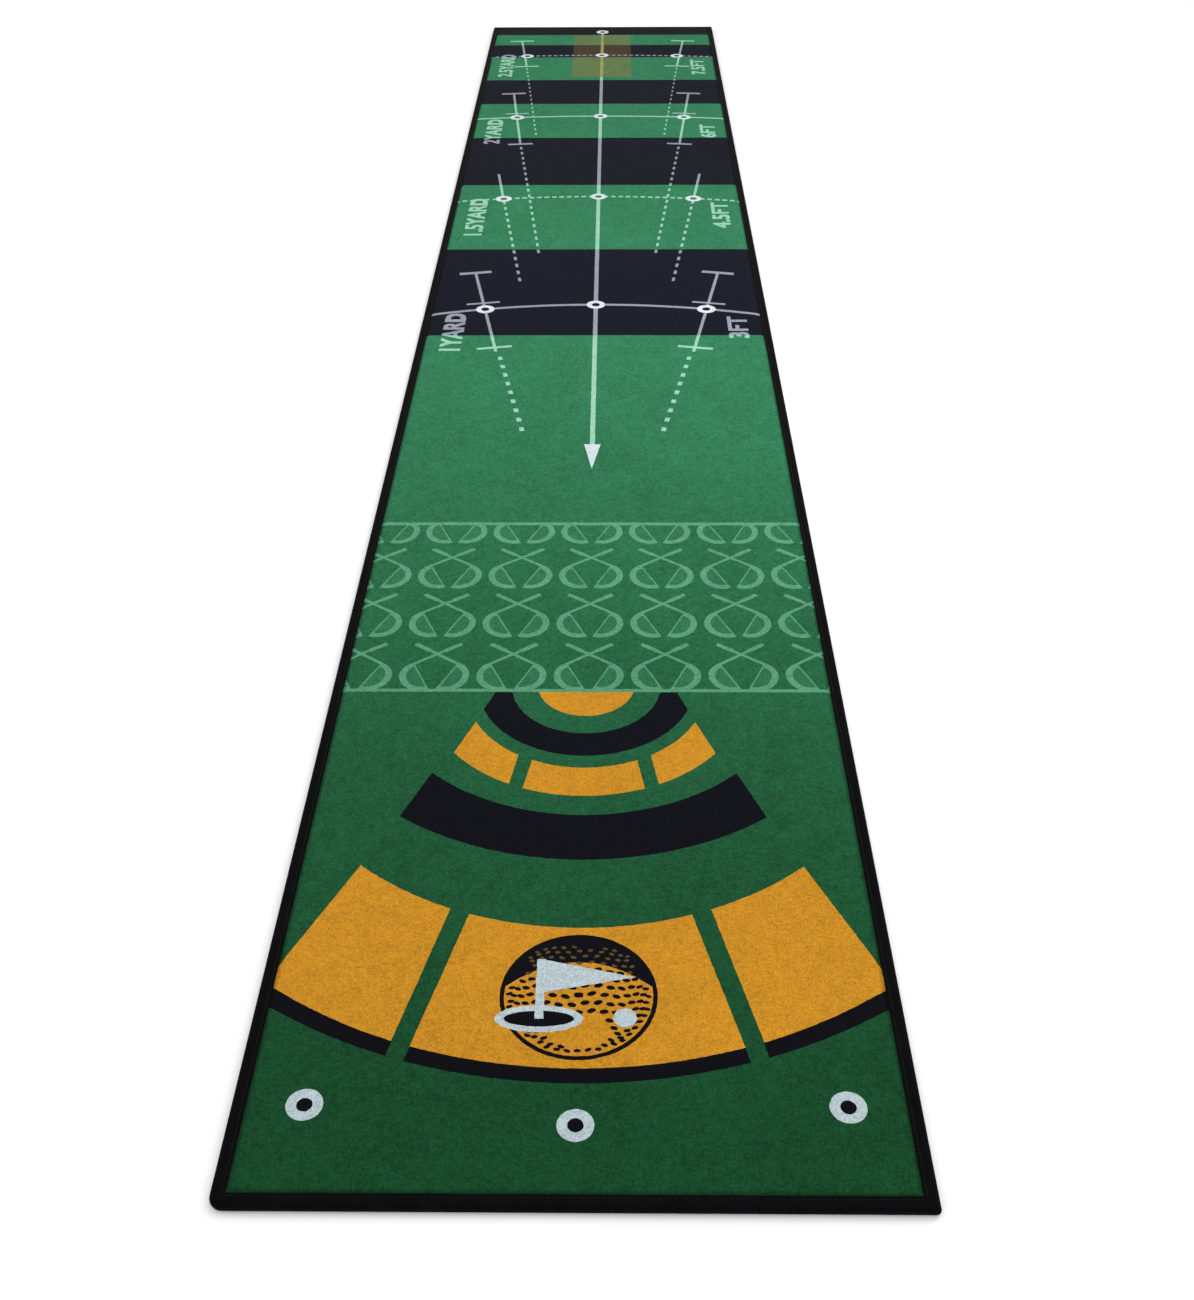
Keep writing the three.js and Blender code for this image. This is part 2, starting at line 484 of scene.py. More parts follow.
def curved_block(low, high, low_span, high_span):
    """A block of the target between two arcs, with straight ends."""
    return arc_edge(low, *low_span) + arc_edge(high, high_span[1], high_span[0])


def far_arc(reach, x0, x1, width):
    """A stretch of a distance arc, from x0 to x1."""
    points = []
    for offset, ends in ((-width / 2, (x0, x1)), (width / 2, (x1, x0))):
        radius = reach - FAN_CENTRE + offset
        count = max(2, round(abs(x1 - x0) / 8))
        for i in range(count + 1):
            x = ends[0] + (ends[1] - ends[0]) * i / count
            points.append((x, FAN_CENTRE + math.sqrt(radius * radius - x * x)))
    return points


def mirrored(outline):
    return [(-x, y) for x, y in reversed(outline)]


def ring(x, y, ground):
    """A white ring whose hole shows the ground under it."""
    return [Mark("white", circle(x, y, RING)), Mark(ground, circle(x, y, RING_HOLE, 24))]


def near_target():
    """The banded target round the half cup, which opens towards the ball end."""
    marks = []
    rims = [curved_block(RIM_EDGE, BAND_LOW, (-129, 129), (-126, 126))]
    side_rim = curved_block(RIM_EDGE, BAND_LOW, (143, 252), (140, 246))
    rims += [side_rim, mirrored(side_rim)]
    marks += [Mark("navy", outline) for outline in rims]
    blocks = [curved_block(BAND_LOW, BAND_HIGH, (-126, 126), (-91.5, 91.5))]
    side_block = curved_block(BAND_LOW, BAND_HIGH, (140.5, 246), (107.5, 188.5))
    blocks += [side_block, mirrored(side_block)]
    blocks.append(curved_block(SMALL_LOW, SMALL_HIGH, (-55.3, 55.3), (-48.5, 48.5)))
    side_small = curved_block(SMALL_LOW, SMALL_HIGH, (68, 121.7), (61.5, 104.5))
    blocks += [side_small, mirrored(side_small)]
    marks += [Mark("orange", outline) for outline in blocks]
    marks.append(Mark("navy", curved_block(NAVY_LOW, NAVY_HIGH, (-162.3, 162.3), (-139.3, 139.3))))
    horns = arc_edge(CUP_LOW, -98.5, 98.5) + [(88.5, CUP_TOP)]
    horns += arc_edge(CUP_HIGH, 72.2, -72.2, 4.0) + [(-88.5, CUP_TOP)]
    marks.append(Mark("navy", horns))
    disc = [p for p in circle(0, DISC[0], DISC[1], 64) if p[1] < CUP_TOP]
    half_chord = math.sqrt(DISC[1] ** 2 - (DISC[0] - CUP_TOP) ** 2)
    disc.sort(key=lambda p: math.atan2(p[1] - DISC[0], p[0]))
    marks.append(Mark("orange", disc + [(half_chord, CUP_TOP), (-half_chord, CUP_TOP)]))
    return marks


EMBLEM = (0, 183)
EMBLEM_RADIUS = 61.5
EMBLEM_RIM = 3.6
DIMPLE_PITCH = (10.4, 8.6)
DIMPLE_REACH = 88  # how far round the ball the dimples go, before they crowd at its edge
GLEAM = (27, 17, 34)  # half width, half height and drop of the patch with no dimples


def shade_line(across, rise):
    """The lower edge of the ball's shaded part, a distance across from its middle."""
    return EMBLEM[1] + rise - 0.0075 * across**2


def dimples(edge):
    """The ball's dimples: even rows in the middle that crowd towards its edge."""
    x0, y0 = EMBLEM
    marks = []
    for row in range(-9, 10):
        for column in range(-9, 10):
            across = DIMPLE_PITCH[0] * (column + (row % 2) / 2)
            up = DIMPLE_PITCH[1] * row + 1.6 * math.sin(across / 7)
            far_out = math.hypot(across, up)
            if far_out > DIMPLE_REACH:
                continue
            crowd = 56.5 * math.sin(far_out / 57) / max(far_out, 1) if far_out < 86 else 0
            x = x0 + across * crowd
            y = y0 + up * crowd
            out = math.hypot(across, up) * crowd
            in_gleam = math.hypot((x - x0) / GLEAM[0], (y - y0 + GLEAM[2]) / GLEAM[1]) < 1
            if in_gleam or out > EMBLEM_RADIUS - 6.5:
                continue
            in_shadow = y > shade_line(x - x0, 31)
            if in_shadow and (y > y0 + 49 or abs(x - x0) > 42):
                continue
            size = (2.9 if in_shadow else 3.9) * math.cos(out / 70)
            dye = "tan" if in_shadow else "navy"
            turn = 0.4 * math.sin(across / 7)
            marks.append(Mark(dye, circle(x, y, size, 10, 0.6, turn), edge))
    return marks


def golf_ball():
    """A plain dimpled ball, shaded on its far side, with a flag in a cup over it."""
    x0, y0 = EMBLEM
    edge = circle(x0, y0, EMBLEM_RADIUS, 72)
    marks = [Mark("navy", edge)]
    marks.append(Mark("orange", circle(x0, y0, EMBLEM_RADIUS - EMBLEM_RIM, 72)))
    shadow = [(x, y) for x, y in circle(x0, y0, EMBLEM_RADIUS - 2, 72) if y > y0 + 14]
    shadow.sort(key=lambda p: p[0])
    lower = [(x0 + 58 - 11.6 * i, shade_line(58 - 11.6 * i, 33)) for i in range(11)]
    marks.append(Mark("navy", shadow + lower))
    marks += dimples(edge)
    pole = x0 - 30
    base = y0 - 23
    top = y0 + 33
    marks.append(Mark("white", circle(pole, base, 34, 36, 0.38)))
    marks.append(Mark("navy", circle(pole, base, 27, 30, 0.28)))
    marks.append(Mark("white", rectangle(pole - 3.4, base, pole + 3.4, top + 3)))
    marks.append(Mark("white", [(pole, top - 31), (pole + 74, top - 15), (pole, top + 3)]))
    marks.append(Mark("white", circle(pole + 66, base + 1, 9, 28)))
    return marks


def half_head(length, depth):
    """A half-moon putter head seen from above, its face along x = 0."""
    points = [(0, -length), (0, length)]
    for i in range(1, 14):
        a = math.pi / 2 + math.pi * i / 14
        points.append((depth * math.cos(a), length * math.sin(a)))
    return points


def club_band():
    """The pale band: rows of plain crossed putters between two border lines."""
    low, high = BAND
    field = rectangle(-SIDE, low, SIDE, high)
    head = half_head(24, 22)
    inlay = placed(half_head(17, 13.5), -1.6, 0)
    shaft = placed(bar((-2, 0), (40, 0), 3.6), 0, 22.5, math.radians(12))
    grip = placed(bar((36, 0), (56, 0), 5.2), 0, 22.5, math.radians(12))
    marks = []
    for dye, outline in (("pale", shaft), ("pale", grip), ("pale", head), ("mist", inlay)):
        left = placed(outline, -CLUB_SPREAD, 0, CLUB_LEAN)
        for shape in (left, mirrored(left)):
            for column in range(-4, 5):
                for row in range(5):
                    x = CLUB_PITCH[0] * column + 2
                    y = FIRST_CLUBS + CLUB_PITCH[1] * row
                    marks.append(Mark(dye, placed(shape, x, y), field))
    for y, width in ((low, 4.7), (high, 6.0)):
        marks.append(Mark("pale", rectangle(-SIDE, y - width / 2, SIDE, y + width / 2)))
    return marks


def ray_line(start, end):
    """The solid part of a side ray."""
    return bar(start, end, RAY_WIDTH)


def dashes(start, end, count, length, width):
    """Evenly spaced dashes whose first and last middles are the two ends."""
    a = Vector(start)
    b = Vector(end)
    way = (b - a).normalized() * length / 2
    marks = []
    for i in range(count):
        middle = a.lerp(b, i / (count - 1))
        marks.append(bar(middle - way, middle + way, width))
    return marks


def side_rays():
    """Four rays on the right side, each through a side ring; the left side mirrors them."""
    rays = []
    rays += dashes((90, 1090), (129.6, 1291), 9, 10, 6.0)
    rays.append(ray_line((137, 1312), (185.5, 1585)))
    rays.append(cross_bar((140, 1325), (0.19, 1), 49, 6.5))
    rays.append(cross_bar((166, 1473.5), (0.19, 1), 49, 5.5))
    rays.append(cross_bar((185.5, 1585), (0.19, 1), 49, 8.5))
    rays += dashes((116.9, 1560), (159.5, 1883), 13, 13, 4.4)
    rays.append(ray_line((161, 1893), (177.5, 2022)))
    rays += dashes((92.8, 1670), (144.8, 2160), 19, 13, 4.2)
    rays.append(ray_line((147.5, 2182), (176.4, 2492)))
    rays.append(cross_bar((147.5, 2183), (0.1, 1), 46, 7.5))
    rays.append(cross_bar((163, 2363), (0.1, 1), 46, 5))
    rays.append(cross_bar((176.4, 2492), (0.1, 1), 48, 8.5))
    rays += dashes((121.2, 2241), (158, 2664), 17, 12, 3.0)
    rays.append(ray_line((159.5, 2683), (179, 2878)))
    rays.append(cross_bar((159.5, 2683), (0.09, 1), 52, 7))
    rays.append(cross_bar((179, 2878), (0.09, 1), 52, 8))
    marks = []
    for outline in rays:
        marks += [Mark("frost", outline), Mark("frost", mirrored(outline))]
    return marks


def distance_arcs():
    """The four distance arcs, solid and dashed in turn."""
    marks = []
    for number, reach in enumerate(ARC_REACH):
        if number % 2:
            half = round(DASHED_HALF / DASH_PITCH)
            for i in range(-half, half + 1):
                middle = i * DASH_PITCH
                dash = far_arc(reach, middle - DASH / 2, middle + DASH / 2, ARC_WIDTH)
                marks.append(Mark("frost", dash))
        else:
            marks.append(Mark("frost", far_arc(reach, -ARC_HALF, ARC_HALF, ARC_WIDTH)))
    return marks


def centre_line():
    """The line down the middle, with its arrow head, and its stretch over the end target."""
    marks = [Mark("frost", bar((0, ARROW_BASE - 1), (0, FAR_RING), LINE_WIDTH))]
    marks.append(Mark("white", [(-10.2, ARROW_BASE), (0, ARROW_TIP), (10.2, ARROW_BASE)]))
    marks.append(Mark("amber", bar((0, TARGET[1]), (0, TARGET[3]), LINE_WIDTH)))
    return marks


def ground_at(y):
    """The ground's dye at a place along the mat."""
    return "navy" if any(low < y < high for low, high in NAVY_STRIPES) else "green"


def rings():
    """The three ball spots, then the rings on the centre line and the distance arcs."""
    marks = []
    for x, y in BALL_SPOTS:
        marks += ring(x, y, "navy")
    for reach in ARC_REACH:
        radius = reach - FAN_CENTRE
        side_y = FAN_CENTRE + math.sqrt(radius * radius - SIDE_RING * SIDE_RING)
        marks += ring(0, reach, ground_at(reach))
        marks += ring(-SIDE_RING, side_y, ground_at(side_y))
        marks += ring(SIDE_RING, side_y, ground_at(side_y))
    marks += ring(0, FAR_RING, ground_at(FAR_RING))
    return marks


def letter_outlines(words):
    """The closed outlines of some words in the built-in typeface, one list of points each;
    the outline of a hole inside a letter runs clockwise."""
    curve = bpy.data.curves.new("figures", "FONT")
    curve.body = words
    curve.resolution_u = 3
    text = bpy.data.objects.new("figures", curve)
    bpy.context.scene.collection.objects.link(text)
    bpy.context.view_layer.update()
    mesh = bpy.data.meshes.new_from_object(text)
    bpy.data.objects.remove(text)
    bpy.data.curves.remove(curve)
    shapes = bmesh.new()
    shapes.from_mesh(mesh)
    bpy.data.meshes.remove(mesh)
    bmesh.ops.remove_doubles(shapes, verts=shapes.verts[:], dist=1e-5)
    step = {}
    for edge in shapes.edges:
        if edge.is_boundary:
            loop = edge.link_loops[0]
            step[loop.vert] = loop.link_loop_next.vert
    outlines = []
    while step:
        vert, after = step.popitem()
        outline = [tuple(vert.co.xy)]
        while after in step:
            outline.append(tuple(after.co.xy))
            after = step.pop(after)
        outlines.append(outline)
    shapes.free()
    return outlines


def twice_area(outline):
    """Twice an outline's area, below nothing when it runs clockwise."""
    sides = zip(outline, outline[1:] + outline[:1])
    return sum(x0 * y1 - x1 * y0 for (x0, y0), (x1, y1) in sides)


BOLD = (1.1, 1.4)  # how far each stroke is spread to make it heavy
HOLE_SHARE = 0.66


def lettered(words, x0, x1, y0, y1):
    """Plain distance figures stretched to fill the box, in heavy strokes. They read towards
    the far end, with their tops at the left."""
    outlines = letter_outlines(words)
    xs = [x for outline in outlines for x, _ in outline]
    ys = [y for outline in outlines for _, y in outline]
    wide = max(xs) - min(xs)
    tall = max(ys) - min(ys)
    strokes = []
    holes = []
    for outline in outlines:
        laid = []
        for x, y in outline:
            up_letter = (x0 - x1) * (y - min(ys)) / tall
            along_word = (y1 - y0) * (x - min(xs)) / wide
            laid.append((x1 + up_letter, y0 + along_word))
        if twice_area(outline) > 0:
            for side, along in ((-1, -1), (1, -1), (1, 1), (-1, 1)):
                strokes.append(Mark("frost", placed(laid, side * BOLD[0], along * BOLD[1])))
        else:
            u = sum(x for x, _ in laid) / len(laid)
            v = sum(y for _, y in laid) / len(laid)
            small = [(u + (x - u) * HOLE_SHARE, v + (y - v) * HOLE_SHARE) for x, y in laid]
            holes.append(Mark(ground_at(v), small))
    return strokes + holes


# Left and right words by each distance arc, then where each begins and ends.
LABELS = (
    ("1YARD", "3FT", 1316, 1436, 1356, 1425),
    ("1.5YARD", "4.5FT", 1738, 1900, 1769, 1880),
    ("2YARD", "6FT", 2186, 2326, 2220, 2293),
    ("2.5YARD", "7.5FT", 2610, 2770, 2625, 2729),
)


def labels():
    """The distance figures beside each arc, yards on the left and feet on the right."""
    marks = []
    for left, right, left_low, left_high, right_low, right_high in LABELS:
        marks += lettered(left, -216, -188, left_low, left_high)
        marks += lettered(right, 190, 217, right_low, right_high)
    return marks


def all_marks():
    """Every mark, bottom one first, as the print covers one with the next."""
    marks = [Mark("navy", rectangle(-SIDE, low, SIDE, high)) for low, high in NAVY_STRIPES]
    marks += club_band() + near_target() + golf_ball()
    marks += distance_arcs() + side_rays() + centre_line() + rings() + labels()
    return marks


# ---------------------------------------------------------------------------
# The pile: one sheet of tufts, parted along the edges of its dyes
# ---------------------------------------------------------------------------
GRID = 12 * MM
PINCH = 9 * MM  # how far in from the tape the pile takes to stand up again
PINCHED_TOP = 6.55 * MM
UNDER_TAPE_TOP = 5.8 * MM
HEADROOM = 0.25 * MM  # keeps the highest tufts under the mat's full height
FRAY = 0.35 * MM  # a dye's edge wanders from tuft to tuft
FRAY_RATE = 900  # and turns about once a millimetre
OUTLINE_STEP = 3.0  # millimetres between points along an outline
TINTED = {"green": "olive", "navy": "brown"}
THIN_DYE = {"frost": "haze"}  # the thin white takes on the navy under it


def pile_top(x, y):
    """Height of the tuft tips: level, a little uneven, and pinched down at the tape."""
    edge = min(WINDOW_X - abs(x), WINDOW_Y - abs(y))
    if edge < 0:
        return UNDER_TAPE_TOP
    rise = min(edge / PINCH, 1.0)
    rise = 1 - (1 - rise) ** 2
    uneven = noise.noise(Vector((x * 16, y * 11, 3.1))) * 0.22 * MM
    uneven += noise.noise(Vector((x * 70, y * 70, 8.4))) * 0.07 * MM
    return PINCHED_TOP + (CROWN - HEADROOM - PINCHED_TOP + uneven) * rise


def grid_lines(limit):
    """Places for the pile's own points: even in the middle, closer towards the tape."""
    count = int((limit - 2 * PINCH) / GRID)
    lines = [i * GRID for i in range(-count, count + 1)]
    for depth in (-6, -0.6, 0.4, 1.8, 3.6, 6.0, 9.0, 14.0):
        lines += [limit - depth * MM, depth * MM - limit]
    return sorted(lines)


def frayed(outline):
    """An outline in metres on the mat, with a point every few millimetres, each a little
    out of line."""
    points = []
    sides = list(zip(outline, outline[1:] + outline[:1]))
    if twice_area(outline) < 0:
        sides = [(b, a) for a, b in reversed(sides)]
    for (x0, y0), (x1, y1) in sides:
        count = max(1, round(math.hypot(x1 - x0, y1 - y0) / OUTLINE_STEP))
        for i in range(count):
            x = (x0 + (x1 - x0) * i / count) * MM
            y = (y0 + (y1 - y0) * i / count) * MM - HALF_LENGTH
            drift_x = noise.noise(Vector((x * FRAY_RATE, y * FRAY_RATE, 0.5))) * FRAY
            drift_y = noise.noise(Vector((x * FRAY_RATE, y * FRAY_RATE, 40.5))) * FRAY
            points.append(Vector((x + drift_x, y + drift_y)))
    return points


def parted_pile():
    """Splits the mat's plan along every outline, and says which dye each face takes."""
    marks = all_marks()
    fences = []
    points = [Vector(p) for p in plan(CUT_INSET)]
    faces = [list(range(len(points)))]

    def add(outline):
        first = len(points)
        points.extend(frayed(outline))
        faces.append(list(range(first, len(points))))
        return len(faces) - 1

    dyes = {}
    for mark in marks:
        dyes[add(mark.outline)] = mark
    stripes = set(sorted(dyes)[: len(NAVY_STRIPES)])
    for mark in marks:
        if mark.inside is not None and not any(fence is mark.inside for fence, _ in fences):
            fences.append((mark.inside, add(mark.inside)))
    x0, y0, x1, y1 = TARGET
    target = add(rectangle(x0, y0, x1, y1))
    for x in grid_lines(WINDOW_X):
        for y in grid_lines(WINDOW_Y):
            points.append(Vector((x, y)))
    verts, _, parts, _, _, sources = delaunay_2d_cdt(points, [], faces, 1, 1e-6, True)

    def dye_of(covering):
        chosen = "green"
        for index in sorted(covering):
            mark = dyes.get(index)
            if mark is None:
                continue
            fence = next((number for outline, number in fences if outline is mark.inside), None)
            if fence is None or fence in covering:
                chosen = mark.dye
        if stripes & covering:
            chosen = THIN_DYE.get(chosen, chosen)
        return TINTED.get(chosen, chosen) if target in covering else chosen

    by_dye = {}
    for part, covering in zip(parts, sources):
        if 0 in covering:
            by_dye.setdefault(dye_of(set(covering)), []).append(part)
    return verts, by_dye


def pile_piece(dye, verts, parts, material):
    """The tufts of one dye: their tips as a smooth face, and walls down to the cloth."""
    shell = bmesh.new()
    tips = {}
    for part in parts:
        corners = []
        for index in part:
            if index not in tips:
                x, y = verts[index]
                tips[index] = shell.verts.new((x, y, pile_top(x, y)))
            corners.append(tips[index])
        shell.faces.new(corners)
    bmesh.ops.recalc_face_normals(shell, faces=shell.faces[:])
    if shell.faces[:][0].normal.z < 0:
        bmesh.ops.reverse_faces(shell, faces=shell.faces[:])
    upper = shell.faces[:]
    base = bmesh.ops.extrude_face_region(shell, geom=upper, use_keep_orig=True)["geom"]
    for item in base:
        if isinstance(item, bmesh.types.BMVert):
            item.co.z = PILE_FLOOR
    bmesh.ops.recalc_face_normals(shell, faces=shell.faces[:])
    piece = make_piece(f"pile_{dye}", shell, material)
    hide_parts("pile_face")
    return piece


# Each dye's tone at the ball end, its tone past the middle (lighter where painted sheen lifts it),
# and how much it mottles.
DYES = {
    "green": (linear(22, 71, 40), linear(52, 128, 88), 1.0),
    "navy": (linear(12, 12, 18), linear(18, 20, 32), 0.8),
    "white": (linear(182, 198, 202), linear(220, 230, 236), 0.5),
    "frost": (linear(156, 208, 182), linear(156, 208, 182), 0.5),
    "haze": (linear(152, 157, 172), linear(152, 157, 172), 0.5),
    "orange": (linear(202, 140, 37), linear(202, 140, 37), 0.6),
    "pale": (linear(76, 140, 105), linear(103, 165, 132), 0.6),
    "mist": (linear(40, 104, 66), linear(56, 124, 88), 0.8),
    "olive": (linear(100, 124, 76), linear(100, 124, 76), 0.8),
    "brown": (linear(70, 60, 44), linear(70, 60, 44), 0.8),
    "amber": (linear(160, 156, 92), linear(160, 156, 92), 0.6),
    "tan": (linear(92, 72, 42), linear(92, 72, 42), 0.6),
}


def make_pile():
    """The pile in all its dyes."""
    verts, by_dye = parted_pile()
    pieces = []
    for dye, parts in sorted(by_dye.items()):
        near, far, contrast = DYES[dye]
        material = pile_finish(f"Pile {dye}", near, far, contrast)
        pieces.append(pile_piece(dye, verts, parts, material))
    return pieces


# ---------------------------------------------------------------------------
# Binding: folded tape, with its seams
# ---------------------------------------------------------------------------
STITCH = 3.5 * MM
BEAD = (0.27 * MM, 0.24 * MM, 1.62 * MM, 1.0)  # half sizes of one stitch, its length last
NEEDLE_LEVEL = 6.86 * MM
BOBBIN_LEVEL = 0.3 * MM
TAPE_THICK = 0.85  # millimetres, as is the path

# The tape's outer face from its lower free edge, under, round and over: (inset, height).
TAPE_PATH = (
    (11.0, 0.02),
    (9.3, 0.05),
    (8.4, 0.42),
    (7.5, 0.05),
    (5.0, 0.02),
    (2.6, 0.05),
    (1.2, 0.5),
    (0.35, 1.4),
    (0.0, 2.8),
    (0.05, 4.4),
    (0.5, 5.8),
    (1.4, 6.75),
    (2.8, 7.15),
    (4.6, 7.2),
    (6.6, 7.12),
    (7.7, 6.95),
    (8.4, 6.78),
    (9.2, 6.95),
    (10.2, 7.0),
    (11.0, 6.8),
)


def ring_points(inset, height):
    """One line of the tape right round the mat, with the same number of points each time."""
    corners = plan(inset, 6)
    points = []
    for i, (x0, y0) in enumerate(corners):
        x1, y1 = corners[(i + 1) % len(corners)]
        span = math.hypot(x1 - x0, y1 - y0)
        count = 1
        if span > 1.0:
            count = round(2 * HALF_LENGTH / STITCH)
        elif span > 0.1:
            count = round(2 * HALF_WIDTH / STITCH)
        for k in range(count):
            points.append((x0 + (x1 - x0) * k / count, y0 + (y1 - y0) * k / count, height))
    return points


def wander(co, inset):
    """Hand-guided sewing: the free edge and the top of the tape are never quite straight."""
    along = co.y if abs(abs(co.x) - HALF_WIDTH) < abs(abs(co.y) - HALF_LENGTH) else co.x
    side = 1.0 if co.x + co.y > 0 else -1.0
    loose = min(inset / FLAP, 1.0)
    drift = noise.noise(Vector((along * 14, side * 5, 1.0))) * 0.45 * MM
    drift += noise.noise(Vector((along * 60, side * 5, 4.0))) * 0.18 * MM
    swell = noise.noise(Vector((along * 40, side * 9, 7.0))) * 0.16 * MM
    return drift * loose, swell


def tape_section():
    """The folded tape cut across: its outer face there and its inner face back again."""
    inner = []
    for i, (inset, height) in enumerate(TAPE_PATH):
        before = TAPE_PATH[max(i - 1, 0)]
        after = TAPE_PATH[min(i + 1, len(TAPE_PATH) - 1)]
        way = Vector((after[0] - before[0], after[1] - before[1])).normalized()
        inner.append((inset + way.y * TAPE_THICK, height - way.x * TAPE_THICK))
    return list(TAPE_PATH) + inner[::-1]


def tape_all_round():
    """The folded tape right round the mat, before it is cut into its four strips."""
    shell = bmesh.new()
    loops = []
    for inset, height in tape_section():
        loops.append([shell.verts.new(co) for co in ring_points(inset * MM, height * MM)])
    for outer, inner in zip(loops, loops[1:] + loops[:1]):
        for i, vert in enumerate(outer):
            shell.faces.new((vert, inner[i], inner[i - 1], outer[i - 1]))
    for vert in shell.verts:
        edge = min(HALF_WIDTH - abs(vert.co.x), HALF_LENGTH - abs(vert.co.y))
        drift, swell = wander(vert.co, edge)
        if HALF_WIDTH - abs(vert.co.x) < HALF_LENGTH - abs(vert.co.y):
            vert.co.x -= math.copysign(drift, vert.co.x)
        else:
            vert.co.y -= math.copysign(drift, vert.co.y)
        if vert.co.z > CROWN / 2:
            vert.co.z += swell
    return shell


def keep_side(shell, place, outward):
    """Cuts the tape by a plane, keeps the part behind it, and closes the cut ends."""
    cut = bmesh.ops.bisect_plane(
        shell,
        geom=shell.verts[:] + shell.edges[:] + shell.faces[:],
        plane_co=place,
        plane_no=outward,
        clear_outer=True,
    )["geom_cut"]
    ends = [item for item in cut if isinstance(item, bmesh.types.BMEdge)]
    bmesh.ops.holes_fill(shell, edges=ends)


def make_tape(side, cuts, material):
    """One strip of the binding, cut from the tape's full round."""
    shell = tape_all_round()
    for place, outward in cuts:
        keep_side(shell, place, outward)
    bmesh.ops.recalc_face_normals(shell, faces=shell.faces[:])
    piece = make_piece(f"binding_tape_{side}", shell, material)
    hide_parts(f"binding_{side}")
    return piece


def make_stitches(kind, side, start, end, height, material):
    """A row of lock stitches: one low bead of thread for each, every stitch length."""
    a = Vector((*start, height))
    b = Vector((*end, height))
    count = int((b - a).length / STITCH)
    way = (b - a).normalized()
    across = way.cross(Vector((0, 0, 1)))
    angles = (math.pi * k / 6 for k in range(5, 0, -1))
    bead = lofted([(circle(0, 0, math.sin(angle), 6), math.cos(angle)) for angle in angles])
    size = Matrix.Diagonal(BEAD)
    turn = Vector((0, 0, 1)).rotation_difference(way).to_matrix().to_4x4()
    bmesh.ops.transform(bead, matrix=turn @ size, verts=bead.verts[:])
    moves = []
    for i in range(count):
        lean = noise.noise(Vector((i * 0.9, a.x * 7, a.y))) * 0.16 * MM
        moves.append(a + way * (i + 0.5) * STITCH + across * lean)
    shell = copies(bead, moves)
    piece = make_piece(f"{kind}_stitches_{side}", shell, material)
    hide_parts(f"{kind}_thread_{side}")
    return piece


def make_binding():
    """The four strips of tape, the end ones lapped over the long ones, and their seams."""
    tape = tape_finish()
    thread = thread_finish()
    lap = WINDOW_Y
    gap = 0.15 * MM
    far_cut = ((0, lap - gap, 0), (0, 1, 0))
    near_cut = ((0, gap - lap, 0), (0, -1, 0))
    strips = {
        "left": (far_cut, near_cut, ((0, 0, 0), (1, 0, 0))),
        "right": (far_cut, near_cut, ((0, 0, 0), (-1, 0, 0))),
        "near": (((0, -lap, 0), (0, 1, 0)),),
        "far": (((0, lap, 0), (0, -1, 0)),),
    }
    seam_x = HALF_WIDTH - SEAM_INSET
    seam_y = HALF_LENGTH - SEAM_INSET
    seams = {
        "left": ((-seam_x, -lap), (-seam_x, lap)),
        "right": ((seam_x, -lap), (seam_x, lap)),
        "near": ((-HALF_WIDTH + EASED_CORNER, -seam_y), (HALF_WIDTH - EASED_CORNER, -seam_y)),
        "far": ((-HALF_WIDTH + EASED_CORNER, seam_y), (HALF_WIDTH - EASED_CORNER, seam_y)),
    }
    for side, cuts in strips.items():
        strip = make_tape(side, cuts, tape)
        upper = make_stitches("needle", side, *seams[side], NEEDLE_LEVEL, thread)
        lower = make_stitches("bobbin", side, *seams[side], BOBBIN_LEVEL, thread)


# ---------------------------------------------------------------------------
# Layers under the pile
# ---------------------------------------------------------------------------
STUD_PITCH = 15 * MM
STUD_TIP = 3.2 * MM
STUD_ROOT = 4.4 * MM
STUD_MARGIN = 8 * MM  # the least way from the tape to a stud's middle
STUD_SHARP = math.radians(25)  # a stud's edges stay sharp
LIFTED_FLOOR = 1.25 * MM  # the rubber's underside over the tape's lower flap
WEB_FLOOR = 0.55 * MM  # its underside between the studs


def make_rubber():
    """The rubber back: pinched at the tape, with low round studs that grip the floor."""
    low, high = (Vector(corner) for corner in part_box("rubber_backing"))
    pad = plan(FLAP + 0.6 * MM, 2)
    cut = plan(CUT_INSET, 2)
    shell = lofted(((pad, WEB_FLOOR), (pad, LIFTED_FLOOR), (cut, LIFTED_FLOOR), (cut, high.z)))
    stud = bmesh.new()
    bmesh.ops.create_cone(
        stud,
        cap_ends=True,
        segments=6,
        radius1=STUD_TIP,
        radius2=STUD_ROOT,
        depth=WEB_FLOOR - low.z,
        matrix=Matrix.Translation((0, 0, (low.z + WEB_FLOOR) / 2)),
    )
    columns = int((WINDOW_X - STUD_MARGIN) / STUD_PITCH)
    rows = int((WINDOW_Y - STUD_MARGIN) / STUD_PITCH)
    moves = []
    for column in range(-columns, columns + 1):
        for row in range(-rows, rows + 1):
            moves.append(Vector((column * STUD_PITCH, row * STUD_PITCH, 0)))
    studs = copies(stud, moves)
    stud_mesh = bpy.data.meshes.new("studs")
    studs.to_mesh(stud_mesh)
    studs.free()
    shell.from_mesh(stud_mesh)
    bpy.data.meshes.remove(stud_mesh)
    piece = make_piece("rubber_back", shell, rubber_finish(), STUD_SHARP)
    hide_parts("rubber_backing")


def make_cloth():
    """The woven cloth that carries the tufts."""
    low, high = (Vector(corner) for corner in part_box("backing_cloth"))
    shell = lofted(((plan(CUT_INSET), low.z), (plan(CUT_INSET), high.z)))
    piece = make_piece("scrim_cloth", shell, scrim_finish())
    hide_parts("backing_cloth")


def finish_latex():
    """The latex coat keeps its shape from the CAD and takes its own finish."""
    latex = bpy.data.objects["latex_coat"]
    latex.data.materials.clear()
    latex.data.materials.append(latex_finish())


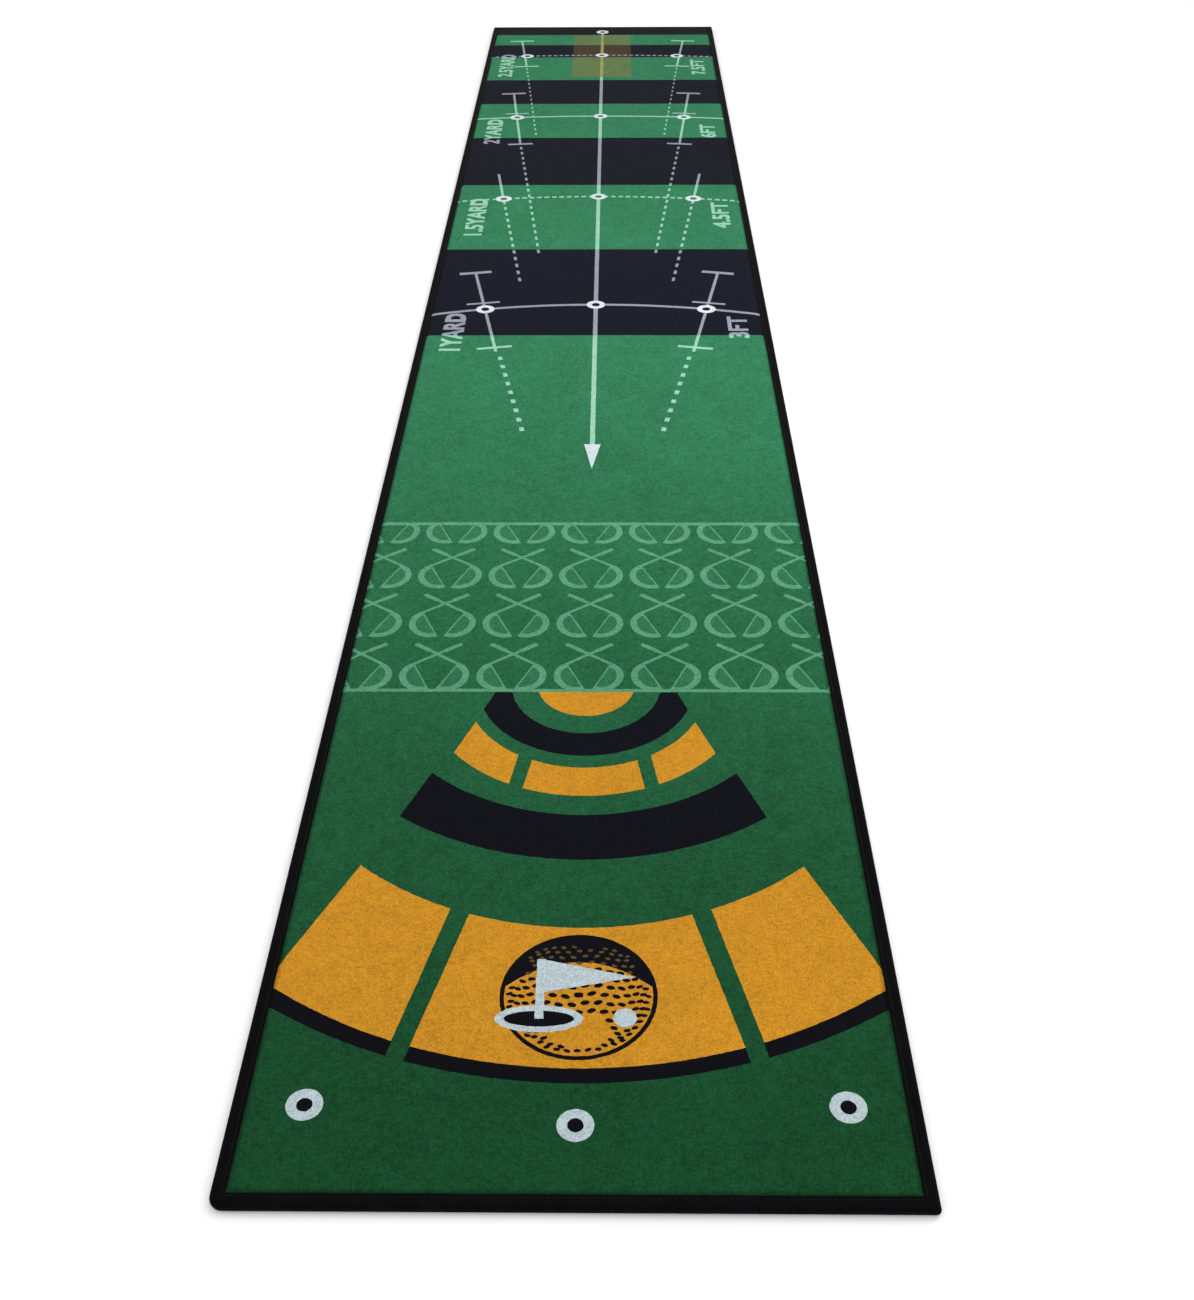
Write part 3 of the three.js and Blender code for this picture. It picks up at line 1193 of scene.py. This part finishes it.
# ---------------------------------------------------------------------------
# Camera, floor and light
# ---------------------------------------------------------------------------
def make_camera():
    """Eye level of a player who stands behind the balls and looks down the mat."""
    data = bpy.data.cameras.new("player_view")
    data.sensor_fit = "VERTICAL"
    data.sensor_height = 36
    data.lens = 40.93
    data.clip_end = 1000
    camera = bpy.data.objects.new("player_view", data)
    bpy.context.scene.collection.objects.link(camera)
    yaw, pitch, roll = (math.radians(a) for a in (0.789, 52.897, -0.38))
    turn = Matrix.Rotation(yaw, 4, "Z") @ Matrix.Rotation(pitch, 4, "X")
    turn = turn @ Matrix.Rotation(roll, 4, "Z")
    place = Matrix.Translation((0.0264, -HALF_LENGTH - 0.5701, 0.9131))
    camera.matrix_world = place @ turn
    bpy.context.scene.camera = camera


def make_floor():
    """A plain pale floor, far wider than any view of the mat."""
    shell = bmesh.new()
    bmesh.ops.create_grid(shell, x_segments=1, y_segments=1, size=300)
    mesh = bpy.data.meshes.new("floor")
    shell.to_mesh(mesh)
    shell.free()
    floor = bpy.data.objects.new("floor", mesh)
    floor.location.z = -0.2 * MM
    bpy.context.scene.collection.objects.link(floor)
    material = bpy.data.materials.new("Pale floor")
    material.use_nodes = True
    shader = material.node_tree.nodes["Principled BSDF"]
    shader.inputs["Base Color"].default_value = (0.97, 0.97, 0.97, 1)
    shader.inputs["Roughness"].default_value = 0.9
    shader.inputs["Specular IOR Level"].default_value = 0.1
    mesh.materials.append(material)


def soft_light(name, place, target, size, power):
    """A wide lamp at a place, turned to a target."""
    data = bpy.data.lights.new(name, "AREA")
    data.shape = "RECTANGLE"
    data.size, data.size_y = size
    data.energy = power
    light = bpy.data.objects.new(name, data)
    bpy.context.scene.collection.objects.link(light)
    light.visible_camera = False
    way = Vector(target) - Vector(place)
    turn = way.to_track_quat("-Z", "Y").to_matrix().to_4x4()
    light.matrix_world = Matrix.Translation(place) @ turn


def make_lights():
    """Even white light from all round, and a soft lamp to the right."""
    world = bpy.data.worlds.new("studio")
    bpy.context.scene.world = world
    world.use_nodes = True
    world.node_tree.nodes["Background"].inputs["Color"].default_value = (1, 1, 1, 1)
    world.node_tree.nodes["Background"].inputs["Strength"].default_value = 1.0
    soft_light("window", (1.35, -0.4, 0.95), (0, -0.3, 0), (0.9, 3.4), 20)


make_camera()
pile_pieces = make_pile()
make_cloth()
finish_latex()
make_rubber()
make_binding()
make_floor()
make_lights()
bpy.context.scene.view_settings.view_transform = "Standard"
